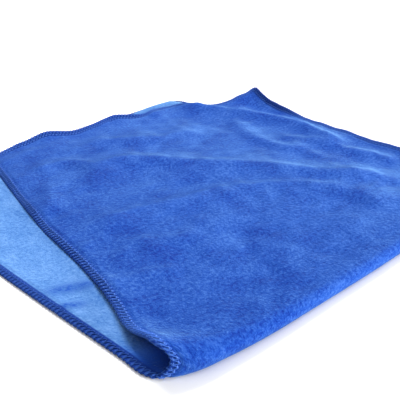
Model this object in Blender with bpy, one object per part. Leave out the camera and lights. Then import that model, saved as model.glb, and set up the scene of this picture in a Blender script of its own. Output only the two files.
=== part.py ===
"""A microfibre cloth, overlocked all round, folded once and laid down loosely.

The cloth is one sheet. Its lower half lies flat, the fold along its front is an open roll
that stands tallest at its left end, and its upper half lies back over the lower one, with
soft ridges across it, a wavy far hem and its far right corner turned up.

Tables are in millimetres, in the fold's own frame: x runs along the fold from its left end,
y runs from the fold to the far hems, and z is up from the surface that the cloth lies on.
ORIGIN moves that frame to the middle of the cloth's box, and MM turns it into metres.
"""

import math
from collections import namedtuple

import bpy
import numpy as np

MM = 0.001
ORIGIN = (130.52, 171.49)

# The cloth as it was cut and sewn.
CLOTH_WIDE = 300.0
CLOTH_LONG = 600.0
CLOTH_THICK = 1.6
HEM_THICK = 2.4
HEM_WIDE = 5.5
CORNER_ROUND = 10.0

# The roll of the fold: its height at its open left end and along the rest, and how far along
# the fold it settles. It turns up from the surface within a share of its radius, its open
# mouth is drawn in at the front, and it takes up some of the cloth's length.
ROLL_TALL_LEFT = 19.0
ROLL_TALL = 8.6
ROLL_SETTLE = 30.0
ROLL_FOOT = 0.55
ROLL_TAKES = 16.0
MOUTH_DRAW = 5.0
MOUTH_REACH = 22.0
LAYER_LONG = 0.5 * (CLOTH_LONG - ROLL_TAKES)

# The upper layer comes down behind the roll within a few of these steps, to this height.
ROLL_LEAN = 11.0
LAYER_REST = 5.0

# Grid of the sheet: cells across it, and along each of its three stretches.
CELLS_ACROSS = 42
CELLS_UPPER = 42
CELLS_ROLL = 10
CELLS_LOWER = 14
HEM_LINES = (0.0, 2.6, HEM_WIDE, 11.0)

# Edges of the two layers in plan, each from the fold to the far hem, or from left to right.
Point = namedtuple("Point", "x y")
FOLD_FRONT = (
    Point(2, 3), Point(14, -2), Point(38, -4.5), Point(58, -5.5), Point(99, -3.2), Point(157, 1),
    Point(306, 16),
)
UPPER_LEFT = (
    Point(2, 3), Point(2, 31), Point(8, 60), Point(12, 100), Point(11.5, 160), Point(16, 235),
    Point(22, 304),
)
UPPER_RIGHT = (
    Point(306, 16), Point(311, 110), Point(308, 205), Point(308, 255), Point(311, 290),
)
UPPER_FAR = (
    Point(22, 304), Point(74, 312), Point(104, 308), Point(128, 313), Point(152, 319),
    Point(178, 312), Point(205, 319), Point(235, 318), Point(262, 300), Point(311, 290),
)
LOWER_LEFT = (
    Point(2, 3), Point(-2.5, 10), Point(-6, 27), Point(-20, 91), Point(-28.4, 131),
    Point(-52, 288),
)
LOWER_RIGHT = (Point(306, 16), Point(283, 180), Point(253, 351))
LOWER_FAR = (Point(-52, 288), Point(197, 342), Point(253, 351))

Edges = namedtuple("Edges", "left right front far")
UPPER = Edges(UPPER_LEFT, UPPER_RIGHT, FOLD_FRONT, UPPER_FAR)
LOWER = Edges(LOWER_LEFT, LOWER_RIGHT, FOLD_FRONT, LOWER_FAR)

# Ridges: each crest runs through its points and stands height mm proud. It falls away over
# near mm towards the fold and far mm towards the far hem, and fades in and out over a share of
# its length. Crests are RIDGE_ROUND mm round, and a higher RIDGE_FALL makes their feet shorter.
RIDGE_ROUND = 2.0
RIDGE_FALL = 1.3
Ridge = namedtuple("Ridge", "name points height near far fade")
UPPER_RIDGES = (
    Ridge("far", (
        Point(222, 314), Point(250, 278), Point(273, 235), Point(286, 195), Point(286, 176),
        Point(282, 150), Point(284, 126),
    ), 7.5, 11, 9, 0.13),
    Ridge("right_bend", (
        Point(240, 184), Point(257, 176), Point(265, 162), Point(272, 138), Point(281, 117),
        Point(286, 97), Point(285, 76),
    ), 3.4, 8, 7, 0.15),
    Ridge("middle", (
        Point(62, 195), Point(82, 217), Point(101, 224), Point(126, 208), Point(156, 180),
        Point(192, 146), Point(220, 107), Point(247, 80), Point(255, 66), Point(251, 50),
    ), 5.5, 15, 12, 0.12),
    Ridge("upper", (
        Point(104, 294), Point(122, 271), Point(162, 250), Point(194, 244), Point(203, 232),
    ), 3.5, 13, 12, 0.2),
    Ridge("front", (
        Point(27, 139), Point(76, 141), Point(102, 135), Point(132, 134), Point(177, 113),
        Point(203, 91), Point(215, 70),
    ), 2.8, 16, 6, 0.12),
    Ridge("front_turn", (
        Point(203, 92), Point(216, 70), Point(215, 49), Point(202, 33),
    ), 2.2, 10, 17, 0.25),
    Ridge("slant", (
        Point(248, 252), Point(243, 230), Point(235, 200), Point(237, 166), Point(243, 144),
    ), 2.8, 8, 9, 0.2),
)
LOWER_RIDGES = (
    Ridge("far_low", (
        Point(165, 318), Point(205, 333), Point(235, 337), Point(262, 328),
    ), 5.0, 14, 4.5, 0.2),
)

# Broad swells of the upper layer: where, how far each way, and how much they lift it.
Swell = namedtuple("Swell", "name x y reach_x reach_y lift")
SWELLS = (
    Swell("far_hem_left", 80, 314, 16, 28, 4.0),
    Swell("far_hem_middle", 150, 322, 26, 28, 2.5),
    Swell("far_hem_right", 215, 322, 34, 22, 3.0),
    Swell("left_corner", 22, 304, 24, 24, -0.8),
    Swell("right_hem_up", 312, 165, 14, 40, 1.2),
    Swell("front_right", 220, 40, 45, 30, 2.0),
    Swell("right_hem", 313, 85, 14, 35, 4.5),
    Swell("right_hem_fold", 312, 236, 12, 14, 1.3),
    Swell("corner_hollow", 293, 264, 10, 18, -2.5),
    Swell("turned_up_corner", 315, 296, 36, 25, 12.0),
)

# The far hem stands up along its left part, and the right hem by the turned-up corner and,
# less, along the rest. Each curl lifts its hem within a width, and draws it in on plan. The
# left hem droops onto the lower layer between the far corner and the roll.
FAR_CURL, FAR_CURL_WIDE = 4.5, 10.0
FAR_CURL_GROWS, FAR_CURL_FADES = (-8.0, 42.0), (150.0, 175.0)
RIGHT_CURL, RIGHT_CURL_WIDE = 8.0, 12.0
RIGHT_CURL_FADES = (35.0, 105.0)
RIGHT_CURL_REST = 0.3
CURL_DRAW, CURL_DRAW_REACH = 0.7, 6.0
LEFT_DROOP, LEFT_DROOP_WIDE = 1.8, 12.0
LEFT_DROOP_GROWS, LEFT_DROOP_FADES = (5.0, 40.0), (205.0, 250.0)

# Colour, roughness and metallic value of the pile.
PILE_BLUE = (0.045, 0.150, 0.680, 1.0)
PILE_ROUGH = 0.95
PILE_METALLIC = 0.0


def through(points, t):
    """Smooth curve through the points, with t from 0 to 1 spread along it by distance."""
    p = np.array(points, float)
    steps = np.linalg.norm(np.diff(p, axis=0), axis=1)
    knots = np.concatenate([[0.0], np.cumsum(steps)]) / steps.sum()
    slopes = np.gradient(p, knots, axis=0)
    t = np.clip(np.asarray(t, float), 0.0, 1.0)
    i = np.clip(np.searchsorted(knots, t, side="right") - 1, 0, len(p) - 2)
    h = (knots[i + 1] - knots[i])[..., None]
    w = (t - knots[i])[..., None] / h
    return (
        (2 * w**3 - 3 * w**2 + 1) * p[i]
        + (w**3 - 2 * w**2 + w) * h * slopes[i]
        + (3 * w**2 - 2 * w**3) * p[i + 1]
        + (w**3 - w**2) * h * slopes[i + 1]
    )


def smoothstep(x):
    """0 below 0, 1 above 1, and a soft S between."""
    x = np.clip(x, 0.0, 1.0)
    return x * x * (3.0 - 2.0 * x)


def ease(x, start, stop):
    """The soft S from start to stop."""
    return smoothstep((x - start) / (stop - start))


def patch(edges, u, s):
    """Plan point of a layer at u across and s from the fold, between its four edges."""
    left, right = through(edges.left, s), through(edges.right, s)
    front, far = through(edges.front, u), through(edges.far, u)
    u, s = u[..., None], s[..., None]
    corners = (
        (1 - u) * (1 - s) * np.array(edges.front[0]) + u * (1 - s) * np.array(edges.front[-1])
        + (1 - u) * s * np.array(edges.far[0]) + u * s * np.array(edges.far[-1])
    )
    return (1 - u) * left + u * right + (1 - s) * front + s * far - corners


def along_and_off(x, y, ridge, steps=36):
    """How far along a ridge each point lies, 0 to 1, and how far off it, the far side +."""
    line = through(ridge.points, np.linspace(0.0, 1.0, steps + 1))
    step = np.diff(line, axis=0)
    from_x, from_y = x[..., None] - line[:-1, 0], y[..., None] - line[:-1, 1]
    w = np.clip((from_x * step[:, 0] + from_y * step[:, 1]) / (step**2).sum(1), 0.0, 1.0)
    off = np.hypot(from_x - w * step[:, 0], from_y - w * step[:, 1])
    side = np.where(step[:, 0] * from_y - step[:, 1] * from_x < 0, -1.0, 1.0)
    nearest = off.argmin(-1)[..., None]
    w, off, side = (np.take_along_axis(v, nearest, -1)[..., 0] for v in (w, off, side))
    return (nearest[..., 0] + w) / steps, off * side


def ridge_height(x, y, ridge):
    """A ridge fades in and out along its line, and has its own fall on each side."""
    t, off = along_and_off(x, y, ridge)
    fade = smoothstep(t / ridge.fade) * smoothstep((1.0 - t) / ridge.fade)
    fall = (np.hypot(off, RIDGE_ROUND) - RIDGE_ROUND) / np.where(off < 0, ridge.near, ridge.far)
    return ridge.height * fade * np.exp(-(fall**RIDGE_FALL))


def swell_height(x, y, swell):
    """A round or oval hump, or a hollow where its lift is negative."""
    east, north = (x - swell.x) / swell.reach_x, (y - swell.y) / swell.reach_y
    return swell.lift * np.exp(-(east**2) - north**2)


def upper_rest(x, y):
    """Height of the upper layer's middle away from the fold and the hems."""
    z = np.full(x.shape, LAYER_REST)
    for ridge in UPPER_RIDGES:
        z += ridge_height(x, y, ridge)
    for swell in SWELLS:
        z += swell_height(x, y, swell)
    return z


def curl_shares(across, from_far):
    """How much of their full curl the far hem and the right hem have at a place."""
    far = ease(across, *FAR_CURL_GROWS) * (1.0 - ease(across, *FAR_CURL_FADES))
    right = 1.0 - ease(from_far, *RIGHT_CURL_FADES)
    return far, RIGHT_CURL_REST + (1.0 - RIGHT_CURL_REST) * right


def left_share(from_far):
    """How much of its full droop the left hem has at a distance from the far hem."""
    return ease(from_far, *LEFT_DROOP_GROWS) * (1.0 - ease(from_far, *LEFT_DROOP_FADES))


def curl_rise(from_hem, width):
    """1 at the hem, falling to 0 at the curl's width."""
    return np.clip(1.0 - from_hem / width, 0.0, 1.0) ** 2


def curl_draw(from_hem, share):
    """Distance from the hem in plan, which a standing hem shortens."""
    return from_hem * (1.0 - CURL_DRAW * share * np.exp(-from_hem / CURL_DRAW_REACH))


def half_thickness(from_hem):
    """Half the cloth's thickness, more in the overlocked band along its hems."""
    return 0.5 * np.where(from_hem <= HEM_WIDE + 0.01, HEM_THICK, CLOTH_THICK)


def from_sides(across):
    """Distance from the nearer of the left and right hems."""
    return np.minimum(across, CLOTH_WIDE - across)


def roll_radius(across):
    """Radius of the roll's middle, largest at the fold's open left end."""
    tall = ROLL_TALL + (ROLL_TALL_LEFT - ROLL_TALL) * np.exp(-across / ROLL_SETTLE)
    return 0.5 * (tall - CLOTH_THICK)


def spread(total, cells):
    """Grid lines over a length: close together in the hem at both ends, even between."""
    inner = np.linspace(HEM_LINES[-1], total - HEM_LINES[-1], cells - 2 * len(HEM_LINES) + 3)
    low = np.array(HEM_LINES[:-1])
    return np.concatenate([low, inner, (total - low)[::-1]])


def round_corner(a, b):
    """Distances from two hems, moved so that the corner between them is a quarter circle."""
    p = np.clip(1.0 - a / CORNER_ROUND, 0.0, 1.0)
    q = np.clip(1.0 - b / CORNER_ROUND, 0.0, 1.0)
    return (
        a + CORNER_ROUND * p * (1.0 - np.sqrt(1.0 - 0.5 * q * q)),
        b + CORNER_ROUND * q * (1.0 - np.sqrt(1.0 - 0.5 * p * p)),
    )


def rounded(across, from_far):
    """The flat place of a grid point, with the cloth's two corners on that hem rounded."""
    left, b_left = round_corner(across, from_far)
    right, b_right = round_corner(CLOTH_WIDE - across, from_far)
    on_left = across < 0.5 * CLOTH_WIDE
    return np.where(on_left, left, CLOTH_WIDE - right), np.where(on_left, b_left, b_right)


def plan(edges, across, back):
    """Plan point of a layer, with back measured from the fold's front to the far hem."""
    return patch(edges, across / CLOTH_WIDE, back / reach(edges, across))


def reach(edges, across):
    """Length of a layer from the fold's front to its far hem."""
    u = across / CLOTH_WIDE
    span = through(edges.far, u) - through(edges.front, u)
    return np.hypot(span[..., 0], span[..., 1])


def back_from_fold(edges, across, from_far, roll_ends):
    """Turns a distance from the far hem into one from the fold's front."""
    length = reach(edges, across)
    return length - from_far * (length - roll_ends) / LAYER_LONG


def upper_layer(across, from_far):
    """Middle of the upper layer, from its far hem to the top of the roll."""
    across, from_far = rounded(across, from_far)
    radius = roll_radius(across)
    far_share, right_share = curl_shares(across, from_far)
    from_right = CLOTH_WIDE - across
    back = back_from_fold(UPPER, across, curl_draw(from_far, far_share), radius)
    plan_across = CLOTH_WIDE - curl_draw(from_right, right_share)
    x, y = np.moveaxis(plan(UPPER, plan_across, back), -1, 0)
    rest = upper_rest(x, y)
    rest += FAR_CURL * far_share * curl_rise(from_far, FAR_CURL_WIDE)
    rest += RIGHT_CURL * right_share * curl_rise(from_right, RIGHT_CURL_WIDE)
    rest -= LEFT_DROOP * left_share(from_far) * curl_rise(across, LEFT_DROOP_WIDE)
    past = np.maximum(back - radius, 0.0) / ROLL_LEAN
    settle = (1.0 + past) * np.exp(-past)
    top = half_thickness(from_sides(across)) + 2.0 * radius
    return np.stack([x, y, rest + (top - rest) * settle], -1)


def roll(across, turn):
    """Middle of the roll, with turn from 90 degrees at its top to -90 under it."""
    radius = roll_radius(across)
    foot = np.where(turn < 0, ROLL_FOOT, 1.0)
    back = foot * radius * (1.0 - np.cos(turn))
    upward = (turn > 0)[..., None]
    x, y = np.moveaxis(np.where(upward, plan(UPPER, across, back), plan(LOWER, across, back)), -1, 0)
    x = x + MOUTH_DRAW * np.cos(turn) ** 2 * np.exp(-across / MOUTH_REACH)
    z = half_thickness(from_sides(across)) + radius * (1.0 + np.sin(turn))
    return np.stack([x, y, z], -1)


def lower_layer(across, from_far):
    """Middle of the lower layer, on the surface but for its far ridge, up to its far hem."""
    z = half_thickness(np.minimum(from_far, from_sides(across)))
    across, from_far = rounded(across, from_far)
    back = back_from_fold(LOWER, across, from_far, ROLL_FOOT * roll_radius(across))
    x, y = np.moveaxis(plan(LOWER, across, back), -1, 0)
    for ridge in LOWER_RIDGES:
        z = z + ridge_height(x, y, ridge)
    return np.stack([x, y, z], -1)


def layer_rows(cells):
    """Grid lines of a layer from its far hem to the roll: close together in the hem."""
    even = np.linspace(HEM_LINES[-1], LAYER_LONG, cells - len(HEM_LINES) + 2)
    return np.concatenate([HEM_LINES[:-1], even])


def sheet_grid():
    """The cloth's middle as one grid, from the upper far hem round to the lower one.

    Returns the points, half the thickness at each, and which belong to the lower layer.
    """
    across = spread(CLOTH_WIDE, CELLS_ACROSS)
    turns = np.radians(np.linspace(90.0, -90.0, CELLS_ROLL + 1)[1:-1])
    stretches = (
        (upper_layer, layer_rows(CELLS_UPPER)),
        (roll, turns),
        (lower_layer, layer_rows(CELLS_LOWER)[::-1]),
    )
    points, from_hem, flat = [], [], []
    for stretch, rows in stretches:
        a, r = np.meshgrid(across, rows, indexing="ij")
        points.append(stretch(a, r))
        from_hem.append(from_sides(a) if stretch is roll else np.minimum(from_sides(a), r))
        flat.append(np.full(a.shape, stretch is lower_layer))
    return (
        np.concatenate(points, 1),
        half_thickness(np.concatenate(from_hem, 1)),
        np.concatenate(flat, 1),
    )


def outward(points):
    """Unit normals of the grid, on the side that shows on top of the upper layer."""
    n = np.cross(np.gradient(points, axis=0), np.gradient(points, axis=1))
    n /= np.linalg.norm(n, axis=-1, keepdims=True)
    return n * np.sign(n[n.shape[0] // 2, n.shape[1] // 4, 2])


def quads(numbers):
    """Four-cornered faces of a grid of vertex numbers."""
    corners = (numbers[:-1, :-1], numbers[1:, :-1], numbers[1:, 1:], numbers[:-1, 1:])
    return np.stack(corners, -1).reshape(-1, 4)


def cloth_mesh():
    """The sheet's two faces, half the thickness off its middle, and the wall between them."""
    points, half, flat = sheet_grid()
    normal = outward(points)
    outer = points + half[..., None] * normal
    inner = points - half[..., None] * normal
    # The lower layer's underside is the outer face. Its thickness is straight up and down, so
    # that it lies flat on the surface wherever it isn't lifted.
    outer[flat] = points[flat]
    inner[flat] = points[flat]
    outer[flat, 2] -= half[flat]
    inner[flat, 2] += half[flat]
    both = (np.stack([outer, inner]) - np.array([*ORIGIN, 0.0])) * MM

    numbers = np.arange(both[..., 0].size).reshape(both.shape[:3])
    rim = np.concatenate([
        numbers[:, :, 0].T, numbers[:, -1, 1:].T, numbers[:, -2::-1, -1].T, numbers[:, 0, -2:0:-1].T,
    ])
    next_rim = np.roll(rim, -1, axis=0)
    wall = np.stack([rim[:, 0], next_rim[:, 0], next_rim[:, 1], rim[:, 1]], -1)
    faces = np.concatenate([quads(numbers[0])[:, ::-1], quads(numbers[1]), wall])

    mesh = bpy.data.meshes.new("cloth")
    mesh.from_pydata(both.reshape(-1, 3).tolist(), [], faces.tolist())
    mesh.validate()
    return mesh


def pile_material():
    material = bpy.data.materials.new("royal_blue_pile")
    material.use_nodes = True
    shader = material.node_tree.nodes["Principled BSDF"]
    shader.inputs["Base Color"].default_value = PILE_BLUE
    shader.inputs["Roughness"].default_value = PILE_ROUGH
    shader.inputs["Metallic"].default_value = PILE_METALLIC
    return material


def clear_scene():
    for thing in list(bpy.data.objects):
        bpy.data.objects.remove(thing, do_unlink=True)


def main():
    clear_scene()
    mesh = cloth_mesh()
    mesh.materials.append(pile_material())
    mesh.shade_smooth()
    mesh.set_sharp_from_angle(angle=math.radians(50.0))
    cloth = bpy.data.objects.new("cloth", mesh)
    bpy.context.scene.collection.objects.link(cloth)


main()
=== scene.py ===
# %% [markdown]
# # A microfibre cloth, overlocked all round and folded once
#
# The real thing is one rectangle of two-faced knit. One face has a brushed royal blue pile,
# the other a light azure one, and overlock stitches in dark blue yarn bind all four edges. It
# is folded once and laid down loosely: the fold stays an open roll, tallest at its left end,
# and the upper half keeps soft ridges and a turned-up corner.
#
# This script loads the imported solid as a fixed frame, makes the cloth's two faces, its
# stitching and its pile around it, and lights it like a product photograph.

from collections import namedtuple

import bpy
import numpy as np
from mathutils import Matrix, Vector


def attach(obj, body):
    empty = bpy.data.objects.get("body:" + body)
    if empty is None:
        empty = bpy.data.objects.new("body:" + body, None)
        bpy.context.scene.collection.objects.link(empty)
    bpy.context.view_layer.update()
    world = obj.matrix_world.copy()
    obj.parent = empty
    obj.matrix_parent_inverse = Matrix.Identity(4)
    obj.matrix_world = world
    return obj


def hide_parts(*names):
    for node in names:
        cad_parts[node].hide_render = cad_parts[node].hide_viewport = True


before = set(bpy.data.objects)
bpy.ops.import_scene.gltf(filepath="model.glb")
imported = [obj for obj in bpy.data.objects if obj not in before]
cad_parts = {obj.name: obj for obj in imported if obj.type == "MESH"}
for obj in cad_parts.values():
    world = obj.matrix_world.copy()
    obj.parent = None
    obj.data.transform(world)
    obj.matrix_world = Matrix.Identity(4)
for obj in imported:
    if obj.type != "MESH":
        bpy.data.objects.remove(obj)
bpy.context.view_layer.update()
print("solids:", sorted(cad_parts))

# %% [markdown]
# ## The camera
#
# The photograph looks over the open end of the fold, from 19 cm above the table and 27 degrees
# down. With a camera placed by eye every outline would drift. This one was worked out before
# anything else, by tracing the hems back to the surface that they lie on.
#
# All sizes are in millimetres in the fold's own frame: x along the fold from its left end, y
# from the fold to the far hems, z up. ORIGIN is where the part's own origin lies in it.

# %% Camera, at the photograph's angle
MM = 0.001
ORIGIN = (130.52, 171.49)
CAMERA_PLACE = (-96.5, -157.6, 189.1)
CAMERA_YAW, CAMERA_PITCH = np.radians(53.2), np.radians(27.1)
CAMERA_LENS, CAMERA_SENSOR = 50.0, 36.0
CAMERA_SEES_FROM = 10.0


def in_metres(points):
    """Moves points from the fold's own frame, in mm, into the part's frame, in metres."""
    return (np.asarray(points, float) - np.array([*ORIGIN, 0.0])) * MM


def look_along(thing, direction):
    """Turns a camera or a lamp so that its -Z points along direction and its Y points up."""
    thing.rotation_euler = Vector(direction).to_track_quat("-Z", "Y").to_euler()


def add_object(name, data):
    """Puts a mesh, a lamp or a camera into the scene as an object."""
    thing = bpy.data.objects.new(name, data)
    bpy.context.scene.collection.objects.link(thing)
    return thing


camera = add_object("camera", bpy.data.cameras.new("camera"))
camera.data.lens = CAMERA_LENS
camera.data.sensor_width = CAMERA_SENSOR
camera.data.sensor_fit = "HORIZONTAL"
camera.data.clip_start = CAMERA_SEES_FROM * MM
camera.location = in_metres(CAMERA_PLACE)
look_along(camera, (
    np.cos(CAMERA_YAW) * np.cos(CAMERA_PITCH),
    np.sin(CAMERA_YAW) * np.cos(CAMERA_PITCH),
    -np.sin(CAMERA_PITCH),
))
bpy.context.scene.camera = camera
print("camera at", [round(v, 4) for v in camera.location])

# %% [markdown]
# ## How the cloth lies
#
# A cloth could be dropped on the table by simulation, but then its folds would fall elsewhere.
# So its middle, halfway between the two faces, is a function: give it a place on the flat
# cloth, and it returns the place in the fold. A flat place is two distances: across, from the
# left hem, and along, from the upper layer's far hem over the fold to the lower layer's.

# %% The cloth as it was cut, and the part of it that the roll of the fold takes up
CLOTH_WIDE = 300.0
CLOTH_LONG = 600.0
ROLL_TAKES = 16.0
LAYER_LONG = 0.5 * (CLOTH_LONG - ROLL_TAKES)
print("flat:", CLOTH_WIDE, "x", CLOTH_LONG, "mm, each layer", LAYER_LONG, "mm long")

# %% [markdown]
# ### The edges of the two layers
#
# Seen from above, each layer is a skewed rectangle with wavy hems, because the halves of a
# cloth folded by hand never match. Each of its four edges is a few points with a smooth curve
# through them. A curve object could draw it, but a formula gives any place on it at once.

# %% Where the edges of the two layers lie
FOLD_FRONT = ((2, 3), (14, -2), (38, -4.2), (58, -4.4), (99, -2.4), (157, 1), (306, 16))
UPPER_LEFT = ((2, 3), (2, 31), (8, 60), (12, 100), (11.5, 160), (16, 235), (22, 304))
UPPER_RIGHT = ((306, 16), (311, 110), (308, 205), (308, 255), (311, 290))
UPPER_FAR = (
    (22, 304), (74, 312), (104, 308), (128, 313), (152, 319), (178, 312), (205, 319),
    (235, 318), (262, 300), (311, 290),
)
LOWER_LEFT = ((2, 3), (-2.5, 10), (-6, 27), (-20, 91), (-28.4, 131), (-52, 288))
LOWER_RIGHT = ((306, 16), (283, 180), (253, 351))
LOWER_FAR = ((-52, 288), (197, 342), (253, 351))

Edges = namedtuple("Edges", "left right front far")
UPPER = Edges(UPPER_LEFT, UPPER_RIGHT, FOLD_FRONT, UPPER_FAR)
LOWER = Edges(LOWER_LEFT, LOWER_RIGHT, FOLD_FRONT, LOWER_FAR)


def through(points, t):
    """A smooth curve through the points.

    t runs from 0 to 1, spread along the curve by distance. Between two points it is a cubic
    that leaves each one along the mean slope of its neighbours.
    """
    p = np.array(points, float)
    steps = np.linalg.norm(np.diff(p, axis=0), axis=1)
    knots = np.concatenate([[0.0], np.cumsum(steps)]) / steps.sum()
    slopes = np.gradient(p, knots, axis=0)
    t = np.clip(np.asarray(t, float), 0.0, 1.0)
    i = np.clip(np.searchsorted(knots, t, side="right") - 1, 0, len(p) - 2)
    h = (knots[i + 1] - knots[i])[..., None]
    w = (t - knots[i])[..., None] / h
    return (
        (2 * w**3 - 3 * w**2 + 1) * p[i]
        + (w**3 - 2 * w**2 + w) * h * slopes[i]
        + (3 * w**2 - 2 * w**3) * p[i + 1]
        + (w**3 - w**2) * h * slopes[i + 1]
    )


print("edge points:", [len(edge) for edge in (*UPPER, *LOWER)])

# %% [markdown]
# ### The plan of a layer
#
# The inside of a layer is lofted between its four edges, as a sail is. Bending a finished grid
# would stretch it unevenly. Here each place is blended from all four edges, so the threads of
# the cloth run the way its hems do.

# %% Places in a layer, seen from above


def patch(edges, u, s):
    """Plan place in a layer at u across and s from the fold, between its four edges.

    It is the sheet between left and right, plus the one between front and far, less the one
    between the four corners, which both of them hold.
    """
    left, right = through(edges.left, s), through(edges.right, s)
    front, far = through(edges.front, u), through(edges.far, u)
    u, s = u[..., None], s[..., None]
    corners = (
        (1 - u) * (1 - s) * np.array(edges.front[0]) + u * (1 - s) * np.array(edges.front[-1])
        + (1 - u) * s * np.array(edges.far[0]) + u * s * np.array(edges.far[-1])
    )
    return (1 - u) * left + u * right + (1 - s) * front + s * far - corners


def reach(edges, across):
    """Length of a layer from the fold's front to its far hem."""
    u = across / CLOTH_WIDE
    span = through(edges.far, u) - through(edges.front, u)
    return np.hypot(span[..., 0], span[..., 1])


def plan(edges, across, back):
    """Plan place in a layer, with back measured from the fold's front to the far hem."""
    return patch(edges, across / CLOTH_WIDE, back / reach(edges, across))


def back_from_fold(edges, across, from_far, roll_ends):
    """Turns a distance from the far hem into one from the fold's front, in proportion."""
    length = reach(edges, across)
    return length - from_far * (length - roll_ends) / LAYER_LONG


print("layers reach back", [round(float(reach(e, 0.5 * CLOTH_WIDE))) for e in (UPPER, LOWER)])

# %% [markdown]
# ## Ridges and creases
#
# A ridge in a soft cloth is steep on one side and gentle on the other, and it fades out at
# both ends. It could be sculpted, but a formula can be moved and measured. Each one is a row
# of a table: the points its crest runs through, how high it stands, how far it falls away
# towards the fold and towards the far hem, and the share of its length over which it fades in
# and out. The broad ridges are those of the imported solid, and the fine ones, 1 to 3 mm high,
# are added here. A negative height makes a trough.
#
# The lower layer has one ridge along its far hem, and two partings in its azure pile by the
# left hem, which get a painted shade later on, as in a crease.

# %% The table of crests
Crest = namedtuple("Crest", "name points height near far fade")
BROAD_RIDGES = (
    Crest("far", (
        (222, 314), (250, 278), (273, 235), (286, 195), (286, 176), (282, 150), (284, 126),
    ), 7.5, 11, 9, 0.13),
    Crest("right_bend", (
        (240, 184), (257, 176), (265, 162), (272, 138), (281, 117), (286, 97), (285, 76),
    ), 3.4, 8, 7, 0.15),
    Crest("middle", (
        (62, 195), (82, 217), (101, 224), (126, 208), (156, 180), (192, 146), (220, 107),
        (247, 80), (255, 66), (251, 50),
    ), 5.5, 15, 12, 0.12),
    Crest("upper", ((104, 294), (122, 271), (162, 250), (194, 244), (203, 232)), 3.5, 13, 12, 0.2),
    Crest("front", (
        (27, 139), (76, 141), (102, 135), (132, 134), (177, 113), (203, 91), (215, 70),
    ), 2.8, 16, 6, 0.12),
    Crest("front_turn", ((203, 92), (216, 70), (215, 49), (202, 33)), 2.2, 10, 17, 0.25),
    Crest("slant", ((248, 252), (243, 230), (235, 200), (237, 166), (243, 144)), 2.8, 8, 9, 0.2),
)
FINE_CREASES = (
    Crest("arc", ((40, 243), (55, 252), (68, 250), (79, 236), (82, 218)), 2.6, 6, 7, 0.15),
    Crest("upright", ((22, 168), (35, 204), (46, 226)), 2.0, 5, 5, 0.3),
    Crest("left_low", ((21, 168), (29, 162), (42, 170)), 1.2, 4, 4, 0.3),
    Crest("hem_pull", ((17, 122), (28, 122), (42, 125)), 1.1, 4, 4, 0.3),
    Crest("front_left", ((38, 114), (59, 101), (74, 94), (97, 92)), 1.6, 8, 4, 0.25),
    Crest("front_left_2", ((28, 101), (45, 100)), 0.9, 4, 4, 0.3),
    Crest("behind_mouth", ((15, 92), (17, 80), (32, 74), (60, 67)), 1.7, 7, 4, 0.2),
    Crest("far_hem_fold", ((20, 272), (42, 288), (80, 286)), 1.4, 8, 6, 0.3),
    Crest("branch", ((240, 96), (238, 84), (233, 72)), 1.1, 4, 4, 0.3),
    Crest("under_bend", ((250, 174), (248, 148), (250, 130), (258, 112)), 1.6, 7, 6, 0.25),
    Crest("roll_top", ((3, 20), (12, 9), (30, 0)), 0.9, 4, 5, 0.3),
    Crest("ring_top", ((66, 60), (88, 75), (106, 68)), 0.8, 5, 5, 0.3),
    Crest("ring_dip", ((98, 88), (108, 78), (118, 64)), -0.8, 5, 5, 0.3),
    Crest("long_dip", ((104, 70), (99, 48), (97, 18)), -1.0, 5, 5, 0.3),
)
LOWER_CREASES = (
    Crest("far_low", ((160, 316), (200, 332), (228, 338), (252, 337)), 5.0, 14, 4.5, 0.2),
)
PARTINGS = (
    Crest("parting", ((-21, 97), (-10, 94), (-1, 91), (19, 84)), 0.9, 2.2, 3.2, 0.4),
    Crest("parting_2", ((-19, 80), (-9, 77), (3, 71)), 0.7, 1.1, 1.5, 0.4),
)
print(len(BROAD_RIDGES), "broad ridges,", len(FINE_CREASES), "fine creases")

# %% [markdown]
# ### The height of a crest
#
# The profile across a crest is a bell, rounded at the top and with a foot that runs out. Near
# its two ends the whole bell shrinks to nothing with a smooth step.

# %% Height of a crest
CREST_STEPS = 36
CREST_ROUND = 2.0
CREST_FALL = 1.3


def smoothstep(x):
    """0 below 0, 1 above 1, and 3x^2 - 2x^3 between."""
    x = np.clip(x, 0.0, 1.0)
    return x * x * (3.0 - 2.0 * x)


def along_and_off(x, y, crest):
    """How far along a crest each place lies, 0 to 1, and how far off it, the far side +.

    The crest is cut into straight steps, and each place takes the step nearest to it.
    """
    line = through(crest.points, np.linspace(0.0, 1.0, CREST_STEPS + 1))
    step = np.diff(line, axis=0)
    from_x, from_y = x[..., None] - line[:-1, 0], y[..., None] - line[:-1, 1]
    w = np.clip((from_x * step[:, 0] + from_y * step[:, 1]) / (step**2).sum(1), 0.0, 1.0)
    off = np.hypot(from_x - w * step[:, 0], from_y - w * step[:, 1])
    side = np.where(step[:, 0] * from_y - step[:, 1] * from_x < 0, -1.0, 1.0)
    nearest = off.argmin(-1)[..., None]
    w, off, side = (np.take_along_axis(v, nearest, -1)[..., 0] for v in (w, off, side))
    return (nearest[..., 0] + w) / CREST_STEPS, off * side


def crest_height(x, y, crest):
    """Height times a fade at both ends times e^-(off / width)^1.3.

    Each side of the crest has its own width. The top is rounded, because off is measured as
    the root of off^2 + round^2, less round.
    """
    t, off = along_and_off(x, y, crest)
    fade = smoothstep(t / crest.fade) * smoothstep((1.0 - t) / crest.fade)
    width = np.where(off < 0, crest.near, crest.far)
    fall = (np.hypot(off, CREST_ROUND) - CREST_ROUND) / width
    return crest.height * fade * np.exp(-(fall**CREST_FALL))


on_far = crest_height(*np.array([[286.0], [185.0]]), BROAD_RIDGES[0])
print("the far ridge stands", on_far.round(1), "mm proud halfway along")

# %% [markdown]
# ### Swells
#
# Between the ridges the layer bulges over air, most of all at the corner that is turned up.
# Each swell is a round or oval hill, or a hollow where its lift is negative.

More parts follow.
